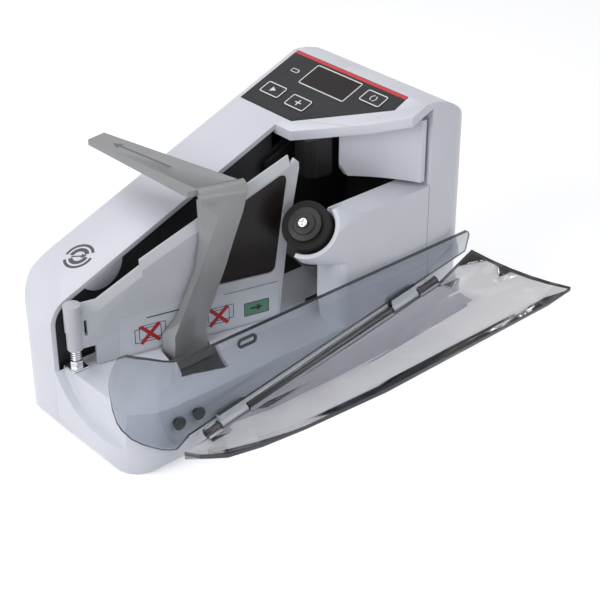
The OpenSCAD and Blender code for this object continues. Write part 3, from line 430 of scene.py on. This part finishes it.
def panel_print(name, outline, material=print_white):
    """A flat print on the overlay."""
    return piece(name, *slab(outline, on_slope, PRINT_LOW, PRINT_HIGH),
                 "machine", "overlay_charcoal", material)


# the print on the overlay: the red line along the crest and the window's outline
RED_LINE = [(0.35, 82.2), (0.35, 11.6), (1.2, 11.2), (2.1, 11.0), (2.1, 82.2)]
WINDOW_EDGE = 0.6
WINDOW_R = 1.0
panel_print("panel_red_line", RED_LINE, print_red)
window_box = (DISPLAY[0] - WINDOW_EDGE, DISPLAY[1] - WINDOW_EDGE,
              DISPLAY[0] + DISPLAY[2] + WINDOW_EDGE, DISPLAY[1] + DISPLAY[3] + WINDOW_EDGE)
frame_line("display_outline", window_box, WINDOW_R, LINE_W, on_slope, PRINT_LOW, PRINT_HIGH,
           "machine", "overlay_charcoal", print_white)

# the print on the keys, which moves with them: an outline and a plain sign each
KEY_TOP = 0.3
PRINT_SINK, PRINT_T = 0.02, 0.06
KEY_LOW, KEY_HIGH = KEY_TOP - PRINT_SINK, KEY_TOP + PRINT_T
KEY_EDGE = 0.1
KEY_R = 1.2
for key, (down, across) in KEYS.items():
    key_box = (down + KEY_EDGE, across + KEY_EDGE,
               down + KEY_W - KEY_EDGE, across + KEY_L - KEY_EDGE)
    frame_line(f"key_{key}_outline", key_box, KEY_R, LINE_W, on_slope, KEY_LOW, KEY_HIGH,
               f"{key}_button", "overlay_charcoal", print_white)


def key_print(name, outline, key):
    """A flat print on a key's cap."""
    return piece(name, *slab(outline, on_slope, KEY_LOW, KEY_HIGH),
                 f"{key}_button", "overlay_charcoal", print_white)


START, ADD, CLEAR = [(KEYS[key][0] + KEY_W / 2, KEYS[key][1] + KEY_L / 2) for key in KEYS]
TRIANGLE = [(-1.5, 1.3), (0, -1.7), (1.5, 1.3)]
key_print("mark_start", [(START[0] + a, START[1] + b) for a, b in TRIANGLE], "start")

# each corner of the cross: its side down and across, and whether it stands out at an arm's end
CROSS_ARM, CROSS_HALF = 1.8, 0.3
CROSS = ((1, 1, 0, 1), (1, 1, 0, 0), (1, 1, 1, 0), (1, -1, 1, 0), (1, -1, 0, 0), (1, -1, 0, -1),
         (-1, -1, 0, -1), (-1, -1, 0, 0), (-1, -1, -1, 0), (-1, 1, -1, 0), (-1, 1, 0, 0),
         (-1, 1, 0, 1))
CROSS_OUT = CROSS_ARM - CROSS_HALF
key_print("mark_add", [(ADD[0] + a * CROSS_HALF + c * CROSS_OUT,
                        ADD[1] + b * CROSS_HALF + d * CROSS_OUT) for a, b, c, d in CROSS], "add")


def ring_arc(centre, r, line, start, end, steps=20):
    """Outline of part of a ring: outer arc out, inner arc back."""
    turn = [math.radians(start + (end - start) * k / steps) for k in range(steps + 1)]
    outer, inner = r + line / 2, r - line / 2
    return ([(centre[0] + outer * math.cos(t), centre[1] + outer * math.sin(t)) for t in turn]
            + [(centre[0] + inner * math.cos(t), centre[1] + inner * math.sin(t))
               for t in turn[::-1]])


ARC_R, ARC_LINE, ARC_TURN = 1.6, 0.45, 145
for side, start in (("left", 25), ("right", 205)):
    key_print(f"mark_clear_{side}",
              ring_arc(CLEAR, ARC_R, ARC_LINE, start, start + ARC_TURN), "clear")

# small signs on the overlay: a battery lamp's outline with its tip, and a short slanted rule
BATTERY = (10.2, 70.2, 12.4, 74.6)
BATTERY_R, BATTERY_LINE = 0.3, 0.35
BATTERY_TIP = [(10.9, 69.7), (11.7, 69.7), (11.7, 70.3), (10.9, 70.3)]
RULE = [(33.0, 40.6), (26.6, 22.4), (26.1, 22.6), (32.5, 40.8)]
frame_line("mark_battery", BATTERY, BATTERY_R, BATTERY_LINE, on_slope, PRINT_LOW, PRINT_HIGH,
           "machine", "overlay_charcoal", print_white)
panel_print("mark_battery_tip", BATTERY_TIP)
panel_print("panel_rule", RULE)


# ---------------------------------------------------------------------------
# The sign on the spine: two broken rings and an arrow, printed in grey on the
# white shell, where a press swings the plate.

PRESS = (143.0, 68.5)
SHELL_LOW, SHELL_HIGH = -0.06, 0.06
RINGS = (("outer", 6.3, 1.3), ("inner", 3.7, 1.9))
RING_GAP, RING_END = 14, 166
ARROW = [(-0.35, 3.6), (-0.35, -1.2), (-1.3, -1.2), (0.0, -3.8), (1.3, -1.2), (0.35, -1.2),
         (0.35, 3.6)]
ARROW_TURN = math.radians(55)
print_grey = plain("print_grey", (0.055, 0.06, 0.075), roughness=0.5)


def spine_print(name, outline):
    """A flat print on the sloping top of the rear shell."""
    return piece(name, *slab(outline, on_slope, SHELL_LOW, SHELL_HIGH),
                 "machine", "white_shell", print_grey)


for name, r, line in RINGS:
    for side, start in (("near", 55), ("far", 235)):
        spine_print(f"press_{name}_{side}",
                    ring_arc(PRESS, r, line, start + RING_GAP, start + RING_END))
spine_print("press_arrow",
            [(PRESS[0] + a * math.sin(ARROW_TURN) + b * math.cos(ARROW_TURN),
              PRESS[1] - a * math.cos(ARROW_TURN) + b * math.sin(ARROW_TURN)) for a, b in ARROW])


# ---------------------------------------------------------------------------
# The boards behind the panel: green laminate with a chip, a capacitor and a
# plug, a digit module, and a clear yellow membrane with steel domes.

board_green = grained(plain("board_green", (0.02, 0.13, 0.05), roughness=0.4), size=0.6, depth=0.01)
module_black = grained(
    plain("module_black", (0.02, 0.02, 0.022), roughness=0.4),
    size=0.5, depth=0.01)
membrane_yellow = grained(
    plain("membrane_yellow", (0.45, 0.36, 0.14), roughness=0.35),
    size=0.8, depth=0.01)
dome_steel = grained(
    plain("dome_steel", (0.6, 0.6, 0.6), roughness=0.25, Metallic=1.0),
    size=0.2, depth=0.003)
dress(board_green, "main_board", "display_board")
dress(module_black, "display_module", "board_parts")
dress(membrane_yellow, "key_membrane")
dress(dome_steel, "key_domes")


# ---------------------------------------------------------------------------
# The pressure plate. A white moulding that swings on an upright steel pin and
# presses the notes to the roller, with a dark window bonded into it, a flange
# along its top, and a sticker that shows which way up the notes go.

PLATE_YAW = math.radians(14)
HINGE = (7.8, 48.2)
PLATE_FRONT = -2
LABEL_T = 0.2


def on_plate(s, z, out=0.0):
    """A place on the plate's front: millimetres from the hinge, height, and out toward the tray."""
    n = PLATE_FRONT - out
    return at(HINGE[0] + s * math.cos(PLATE_YAW) + n * math.sin(PLATE_YAW),
              HINGE[1] - s * math.sin(PLATE_YAW) + n * math.cos(PLATE_YAW), z)


# painted shade: the plate's white is darker than the shell's, standing in for the shade that falls
# on its front
plate_white = grained(
    plain("plate_white", (0.50, 0.515, 0.545), roughness=0.4, Coat_Weight=0.15),
    size=0.35, depth=0.012, mottle=0.012)
plate_dark = plain("plate_dark", (0.016, 0.012, 0.011), roughness=0.25, Specular_IOR_Level=0.25)
label_paper = grained(
    plain("label_paper", (0.50, 0.52, 0.56), roughness=0.55),
    size=0.25, depth=0.01)
round_edges("pressure_plate", radius=0.6)
dress(plate_white, "pressure_plate")
dress(plate_dark, "plate_window")
dress(label_paper, "plate_label")
ink_red = plain("ink_red", (0.36, 0.012, 0.016), roughness=0.5)
ink_black = plain("ink_black", (0.02, 0.02, 0.025), roughness=0.5)
ink_green = plain("ink_green", (0.09, 0.22, 0.14), roughness=0.5)


def stroke(name, ends, width, place, low, high, body, slot, material):
    """A straight printed stroke between two places."""
    (a0, b0), (a1, b1) = ends
    da, db = a1 - a0, b1 - b0
    size = math.hypot(da, db)
    na, nb = -db / size * width / 2, da / size * width / 2
    outline = [(a0 + na, b0 + nb), (a0 - na, b0 - nb), (a1 - na, b1 - nb), (a1 + na, b1 + nb)]
    return piece(name, *slab(outline, place, low, high), body, slot, material)


LOW, HIGH = LABEL_T - PRINT_SINK, LABEL_T + PRINT_T
THIN_LINE, THIN_R = 0.3, 0.3


def label_box(name, box, line=THIN_LINE, high=HIGH):
    """A thin printed outline on the sticker."""
    return frame_line(name, box, THIN_R, line, on_plate, LOW, high,
                      "plate", "label_paper", ink_black)


# two notes laid the wrong way, each two outlines under a red cross
WRONG = [(32.2, 38.8), (63.5, 38.4)]
CROSS_REACH, CROSS_W, CROSS_RISE = 4.2, 1.7, 0.03
FRONT_NOTE = (-7, -3.6, 5, 3.2)
BACK_NOTE = (-5, -2.4, 7, 4.4)
BACK_DROP = 0.02
for number, (s, z) in enumerate(WRONG):
    for tilt in (-1, 1):
        ends = [(s - CROSS_REACH, z - CROSS_REACH * tilt),
                (s + CROSS_REACH, z + CROSS_REACH * tilt)]
        stroke(f"label_cross_{number}_{'up' if tilt > 0 else 'down'}", ends, CROSS_W, on_plate,
               LOW, HIGH + CROSS_RISE * (2 + tilt), "plate", "label_paper", ink_red)
    for layer, note, high in (("front", FRONT_NOTE, HIGH),
                              ("back", BACK_NOTE, HIGH - BACK_DROP)):
        label_box(f"label_note_{number}_{layer}",
                  (s + note[0], z + note[1], s + note[2], z + note[3]), high=high)

# one note laid the right way, filled green, with an arrow on it
GOOD_NOTE, GOOD_LINE = (75.4, 34.6, 87.2, 41.2), 0.35
GOOD_FILL, FILL_R, FILL_DROP = (75.8, 35.0, 86.8, 40.8), 0.2, 0.03
label_box("label_note_good", GOOD_NOTE, line=GOOD_LINE)
piece("label_note_good_fill",
      *slab(round_rect(*GOOD_FILL, FILL_R), on_plate, LOW, HIGH - FILL_DROP),
      "plate", "label_paper", ink_green)
FEED_ARROW = [(78.6, 37.5), (81.5, 37.5), (81.5, 36.4), (84.2, 38.0), (81.5, 39.6), (81.5, 38.5),
              (78.6, 38.5)]
piece("label_arrow", *slab(FEED_ARROW, on_plate, LOW, HIGH), "plate", "label_paper", ink_black)

LABEL_RULES = (("long", [(66.0, 48.2), (91.6, 48.2)], 0.25),
               ("short", [(31.0, 46.6), (48.0, 46.6)], 0.5))
for name, ends, width in LABEL_RULES:
    stroke(f"label_rule_{name}", ends, width, on_plate, LOW, HIGH,
           "plate", "label_paper", ink_black)


# ---------------------------------------------------------------------------
# The plate's hinge: a zinc bracket with a nut on the base, the steel pin that
# stands in it, and a torsion spring round the pin.

bracket_zinc = grained(
    plain("bracket_zinc", (0.58, 0.59, 0.62), roughness=0.25, Metallic=1.0),
    size=0.3, depth=0.006)
spring_wire = plain("spring_wire", (0.5, 0.5, 0.52), roughness=0.25, Metallic=1.0)
round_edges("hinge_bracket", radius=0.3)
round_edges("hinge_pin", radius=0.3)
dress(bracket_zinc, "hinge_bracket")
dress(spring_wire, "hinge_spring", "arm_spring", "battery_contacts", "inlet_pin")


# ---------------------------------------------------------------------------
# The note arm. One moulding in silver-grey plastic: an upright that holds the
# notes against the plate and a top leg to push it by, with a long arrow on it.
# It stands on a carriage that slides on two rods.

arm_grey = grained(
    plain("arm_grey", (0.27, 0.275, 0.28), roughness=0.40, Metallic=0.25, Coat_Weight=0.12),
    size=0.3, depth=0.012)
ARM_EDGE_ANGLE = math.radians(40)
CREASE_ANGLE = math.radians(35)
arm = round_edges("note_arm", radius=0.35, angle=ARM_EDGE_ANGLE)
creases = arm.modifiers.new("creases", "EDGE_SPLIT")
creases.split_angle = CREASE_ANGLE
dress(arm_grey, "note_arm")
dress(case_black, "arm_carriage", "guide_frame")

# the arrow on the top leg shows which way the arm is drawn
LEG_TOP = 101.4
LEG_FAR, LEG_NEAR = (59.6, 92.0), (66.0, 44.0)


def on_leg(a, b, up=0.0):
    """A place on the arm's top leg in millimetres: along it from its far end, across, and up."""
    along = Vector((LEG_NEAR[0] - LEG_FAR[0], LEG_NEAR[1] - LEG_FAR[1])).normalized()
    return at(LEG_FAR[0] + a * along.x - b * along.y,
              LEG_FAR[1] + a * along.y + b * along.x, LEG_TOP + up)


mark_dark = plain("mark_dark", (0.12, 0.125, 0.135), roughness=0.5)
LEG_ARROW = [(3.0, 0.0), (7.5, -2.2), (7.5, -0.5), (38.0, -0.5), (38.0, 0.5), (7.5, 0.5),
             (7.5, 2.2)]
LEG_LOW, LEG_HIGH = -0.05, 0.05
piece("arm_arrow", *slab(LEG_ARROW, on_leg, LEG_LOW, LEG_HIGH), "arm", "arm_grey", mark_dark)


# ---------------------------------------------------------------------------
# The guard and the tray. Clear smoke-grey mouldings, 2 mm thick: the guard
# wraps the near corner of the base on two pegs, and the tray hangs from it on
# a dark steel rod and folds up.

GUARD_TINT = (0.54, 0.565, 0.61)
FLAP_TINT = (0.57, 0.568, 0.585)
SHADOW_TINT = (0.84, 0.85, 0.87, 1)
SHEET_ROUGHNESS = 0.04
SHEET_IOR = 1.45
SHEET_T = 2.0


def smoke(name, tint):
    """Clear tinted plastic that lets light through as a soft shadow."""
    material = plain(name, tint, SHEET_ROUGHNESS, Transmission_Weight=1.0, IOR=SHEET_IOR)
    tree = material.node_tree
    path = tree.nodes.new("ShaderNodeLightPath")
    shade = tree.nodes.new("ShaderNodeBsdfTransparent")
    shade.inputs["Color"].default_value = SHADOW_TINT
    pick = tree.nodes.new("ShaderNodeMixShader")
    tree.links.new(path.outputs["Is Shadow Ray"], pick.inputs[0])
    tree.links.new(tree.nodes["Principled BSDF"].outputs[0], pick.inputs[1])
    tree.links.new(shade.outputs[0], pick.inputs[2])
    tree.links.new(pick.outputs[0], tree.nodes["Material Output"].inputs["Surface"])
    return material


smoke_guard = smoke("smoke_guard", GUARD_TINT)
smoke_flap = smoke("smoke_flap", FLAP_TINT)
# painted shade: a dark paint for the cut edges of the clear sheets
smoke_edge_painted_shade = plain("smoke_edge_painted_shade", (0.045, 0.05, 0.058), roughness=0.18)
smoke_frost = grained(
    plain("smoke_frost", (0.50, 0.53, 0.58), roughness=0.3, Coat_Weight=0.3), size=0.3, depth=0.01)


def thin(mesh, face, limit):
    """Whether a face is a narrow strip, as the cut edge of a sheet is."""
    ends = [mesh.vertices[v].co for v in face.vertices]
    longest = max((ends[k] - ends[k - 1]).length for k in range(len(ends)))
    return 2 * face.area / longest < limit / 1000


round_edges("tray_guard", radius=0.3)
round_edges("tray_flap", radius=0.3)
dress(smoke_guard, "tray_guard")
dress(smoke_flap, "tray_flap")
# the cut edges of the sheets are painted dark, a painted shade standing in for the darkness that
# light bent through the sheet gives them, and the lugs on the rod are frosted
EDGE, FROST = 1, 2
STRIP_W = 2 * SHEET_T + 0.2
FACES_TRAY, LOOKS_UP, LOOKS_SIDEWAYS = 0.95, 0.4, 0.35
# a face of the guard that lies wholly past its front belongs to a lug
LUGS_START = -3.05
GUARD_FRONT = at(0, LUGS_START, 0).y
guard_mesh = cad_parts["tray_guard"].data
flap_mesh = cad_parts["tray_flap"].data
guard_mesh.materials.append(smoke_edge_painted_shade)
guard_mesh.materials.append(smoke_frost)
flap_mesh.materials.append(smoke_edge_painted_shade)
for face in guard_mesh.polygons:
    on_top = abs(face.normal.y) < FACES_TRAY and abs(face.normal.z) > LOOKS_UP
    if max(guard_mesh.vertices[v].co.y for v in face.vertices) < GUARD_FRONT:
        face.material_index = FROST
    elif on_top and thin(guard_mesh, face, STRIP_W):
        face.material_index = EDGE
for face in flap_mesh.polygons:
    if abs(face.normal.z) < LOOKS_SIDEWAYS and thin(flap_mesh, face, STRIP_W):
        face.material_index = EDGE

# a latch moulded on the front of the guard: a low round-cornered loop
GUARD_Y = -3.0
LATCH, LATCH_R, LATCH_LINE = (52.0, 45.2, 61.5, 49.4), 1.6, 0.9
LATCH_LOW, LATCH_HIGH = -0.05, 0.9


def on_guard(x, z, out=0.0):
    """A place on the guard's front: along, height, and out toward the tray."""
    return at(x, GUARD_Y - out, z)


# the loop is painted in the same dark as the cut edges, a painted shade
frame_line("guard_latch", LATCH, LATCH_R, LATCH_LINE, on_guard, LATCH_LOW, LATCH_HIGH,
           "machine", "clear_smoke", smoke_edge_painted_shade)
rod_dark = grained(
    plain("rod_dark", (0.05, 0.055, 0.06), roughness=0.3, Metallic=0.6),
    size=0.3, depth=0.005)
round_edges("guard_pegs", radius=0.2)
dress(rod_dark, "tray_rod", "guard_pegs")


# ---------------------------------------------------------------------------
# The back: a white battery door on two stub pivots over four cells in a black
# box, a slide switch, and a round low-voltage inlet.

cell_green = grained(
    plain("cell_green", (0.05, 0.16, 0.09), roughness=0.3, Metallic=0.5),
    size=0.5, depth=0.005)
round_edges("battery_door", radius=0.5)
round_edges("switch_knob", radius=0.3)
round_edges("power_inlet", radius=0.3)
round_edges("cells", radius=0.5)
dress(shell_white, "battery_door")
dress(cell_green, "cells")
dress(case_black, "battery_box", "switch_body", "switch_knob", "power_inlet")
